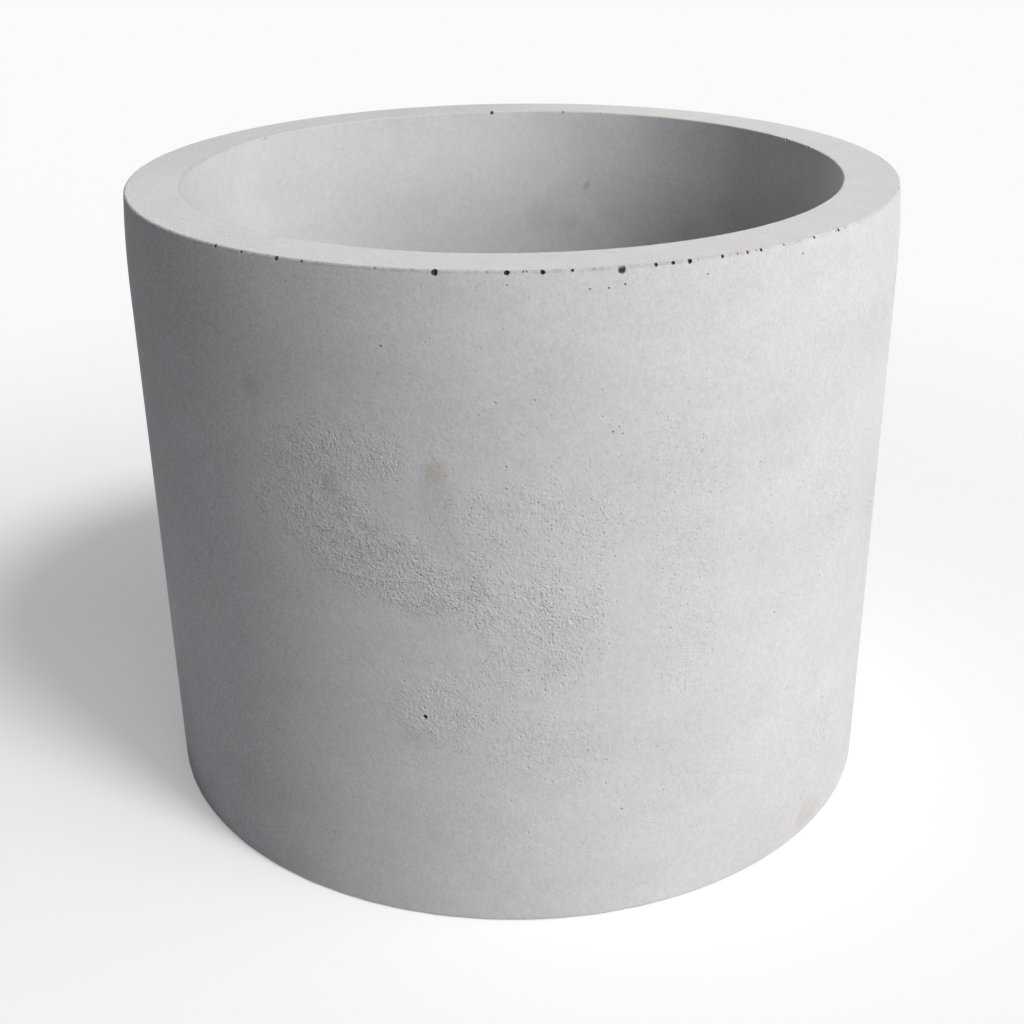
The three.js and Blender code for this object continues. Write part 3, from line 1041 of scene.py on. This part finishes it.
# Distant lights: azimuth from the front towards +X and elevation, strength, spread, colour.
LIGHTS = {
    "key": (50, 52, 1.89, 13, (1.0, 0.99, 0.96)),
    "front": (45, 30, 1.62, 60, (1.0, 0.99, 1.0)),
    "side": (80, 20, 1.2, 50, (1.0, 0.985, 0.945)),
    "back": (180, 30, 1.27, 60, (0.98, 0.98, 1.0)),
}
AMBIENT = 0.064
AMBIENT_COLOUR = (0.90, 0.92, 1.0, 1)


def add_camera():
    data = bpy.data.cameras.new("camera")
    data.lens = CAMERA_LENS
    data.sensor_width = 36
    data.clip_start, data.clip_end = 0.01, 100
    camera = bpy.data.objects.new("camera", data)
    turn = Matrix.Rotation(-CAMERA_YAW, 4, "Z")
    tilt = Matrix.Rotation(math.radians(90) - CAMERA_PITCH, 4, "X")
    roll = Matrix.Rotation(CAMERA_ROLL, 4, "Z")
    camera.matrix_world = Matrix.Translation(CAMERA_PLACE) @ turn @ tilt @ roll
    bpy.context.scene.collection.objects.link(camera)
    bpy.context.scene.camera = camera


def add_sun(name, azimuth, elevation, strength, spread, colour):
    """A distant light. Azimuth is from the front towards +X, and all angles are in degrees.
    The one from the back falls on the planter only, so that it throws no shadow to the front."""
    data = bpy.data.lights.new(name, "SUN")
    data.energy = strength
    data.angle = math.radians(spread)
    data.color = colour
    sun = bpy.data.objects.new(name, data)
    a, e = math.radians(azimuth), math.radians(elevation)
    towards = Vector((math.sin(a) * math.cos(e), -math.cos(a) * math.cos(e), math.sin(e)))
    sun.rotation_mode = "QUATERNION"
    sun.rotation_quaternion = towards.to_track_quat("Z", "Y")
    bpy.context.scene.collection.objects.link(sun)
    return sun


def add_world():
    """Dim all round, but as bright as the floor where a camera, a gloss or a glass looks at it."""
    world = bpy.data.worlds.new("studio")
    bpy.context.scene.world = world
    world.use_nodes = True
    tree = world.node_tree
    background = tree.nodes["Background"]
    path = tree.nodes.new("ShaderNodeLightPath")
    seen = path.outputs["Is Camera Ray"]
    for other in ("Is Glossy Ray", "Is Transmission Ray"):
        both = tree.nodes.new("ShaderNodeMath")
        both.operation = "MAXIMUM"
        tree.links.new(seen, both.inputs[0])
        tree.links.new(path.outputs[other], both.inputs[1])
        seen = both.outputs[0]
    level = tree.nodes.new("ShaderNodeMapRange")
    tree.links.new(seen, level.inputs["Value"])
    level.inputs["To Min"].default_value = AMBIENT
    level.inputs["To Max"].default_value = BACKDROP
    tree.links.new(level.outputs["Result"], background.inputs["Strength"])
    tint = tree.nodes.new("ShaderNodeMix")
    tint.data_type = "RGBA"
    tree.links.new(seen, tint.inputs[0])
    tint.inputs[6].default_value = AMBIENT_COLOUR
    tint.inputs[7].default_value = (1, 1, 1, 1)
    tree.links.new(tint.outputs[2], background.inputs["Color"])


def add_floor():
    mesh = bpy.data.meshes.new("floor")
    half = FLOOR_SIZE / 2
    corners = [(-half, -half, 0), (half, -half, 0), (half, half, 0), (-half, half, 0)]
    mesh.from_pydata(corners, [], [(0, 1, 2, 3)])
    floor = bpy.data.objects.new("floor", mesh)
    bpy.context.scene.collection.objects.link(floor)
    mesh.materials.append(floor_paper())


# --- Assembly ---

add_camera()
suns = {light: add_sun(light, *settings) for light, settings in LIGHTS.items()}
add_world()
add_floor()

dressed(concrete_shell(), "planter", "concrete_shell", concrete())
dressed(drain_sleeve(), "planter", "drain_sleeve", sleeve_plastic())
dressed(drain_plug(), "plug", "drain_plug", plug_rubber())
felt = pad_felt()
for pad_node in PAD_NODES:
    dressed(foot_pad(pad_node), "planter", pad_node, felt)

lit_from_back = bpy.data.collections.new("lit_from_back")
for thing in bpy.context.scene.objects:
    if thing.type == "MESH" and thing.name != "floor":
        lit_from_back.objects.link(thing)
suns["back"].light_linking.receiver_collection = lit_from_back

bpy.context.scene.view_settings.view_transform = "Standard"
